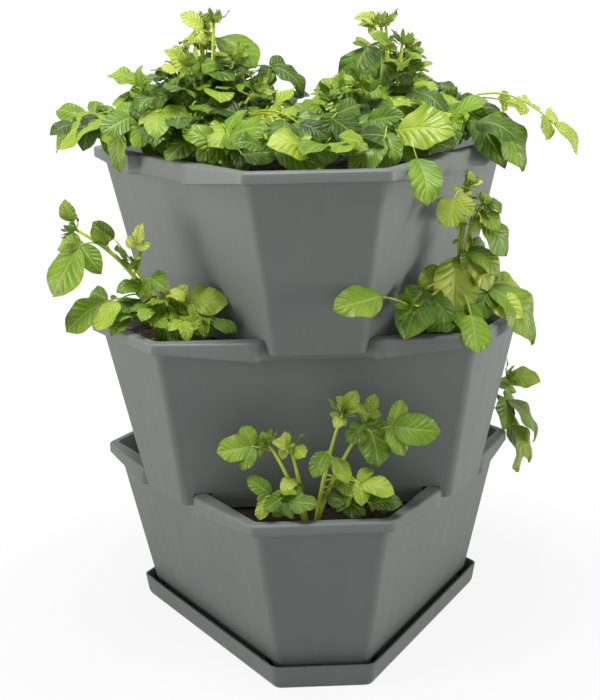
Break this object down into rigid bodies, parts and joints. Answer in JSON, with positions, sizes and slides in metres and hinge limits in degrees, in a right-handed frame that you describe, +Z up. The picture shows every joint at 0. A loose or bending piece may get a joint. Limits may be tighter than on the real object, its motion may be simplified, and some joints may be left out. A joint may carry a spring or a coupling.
{
  "type": "potato tower",
  "caption": "Stacked planting tower of turned three-sided tubs on a drip saucer, with soil, seed potatoes and leafy potato plants growing from its corner pockets.",
  "frame": {"origin": "on the ground under the middle of the tower, at the underside of the drip saucer", "axes": "+Z up along the axis of the tower; -Y towards the front corner of the lower and upper tubs; +X to the right seen from the front"},
  "size_m": [0.5787, 0.4835, 0.704],
  "materials": {
    "grey_plastic": "matt slate grey moulded plastic",
    "soil": "crumbly dark potting compost",
    "potato_leaf": "living green leaf and stem",
    "potato_skin": "dull tan potato skin"
  },
  "bodies": {
    "base": {"drip_saucer": "grey_plastic"},
    "lower": {"lower_tier": "grey_plastic", "lower_soil": "soil", "lower_front_plant": "potato_leaf", "lower_right_plant": "potato_leaf", "lower_front_seed_potato": "potato_skin", "lower_right_seed_potato": "potato_skin"},
    "middle": {"middle_tier": "grey_plastic", "middle_soil": "soil", "middle_left_plant": "potato_leaf", "middle_right_plant": "potato_leaf", "middle_left_seed_potato": "potato_skin", "middle_right_seed_potato": "potato_skin"},
    "upper": {"upper_tier": "grey_plastic", "upper_soil": "soil", "upper_left_plant": "potato_leaf", "upper_right_plant": "potato_leaf", "upper_left_seed_potato": "potato_skin", "upper_right_seed_potato": "potato_skin"}
  },
  "joints": [
    {"name": "lower_lift", "type": "slide", "parent": "base", "child": "lower", "axis": [0, 0, 1], "range_m": [0, 0.1]},
    {"name": "middle_lift", "type": "slide", "parent": "lower", "child": "middle", "axis": [0, 0, 1], "range_m": [0, 0.22]},
    {"name": "upper_lift", "type": "slide", "parent": "middle", "child": "upper", "axis": [0, 0, 1], "range_m": [0, 0.25]}
  ]
}
